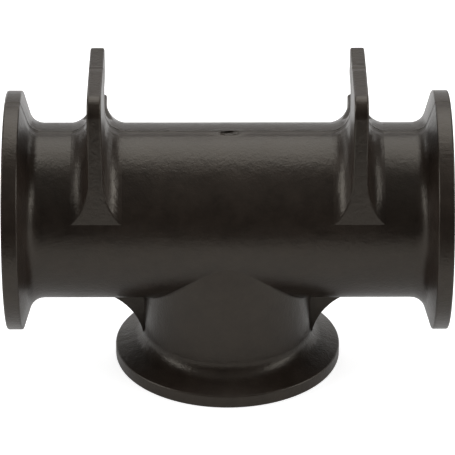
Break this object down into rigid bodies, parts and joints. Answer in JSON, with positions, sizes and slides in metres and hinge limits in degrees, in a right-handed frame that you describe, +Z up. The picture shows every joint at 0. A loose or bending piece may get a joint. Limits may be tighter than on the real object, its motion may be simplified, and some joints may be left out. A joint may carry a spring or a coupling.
{
  "type": "manifold flange tee",
  "caption": "Moulded plastic manifold tee: a straight run and a downward branch, all ending in clamp flanges, with hooked lugs on top and thin webs beside the branch.",
  "frame": {"origin": "centre of the branch's flange face, which the part stands on", "axes": "+Z up along the branch towards the run, X along the run, +Y towards the back, where the lugs' hooks open"},
  "size_m": [0.1622, 0.0882, 0.1184],
  "materials": {
    "tee_body": "semi-matte moulded black glass-filled polypropylene with a fine grain"
  },
  "bodies": {
    "root": {"manifold_tee": "tee_body"}
  },
  "joints": []
}
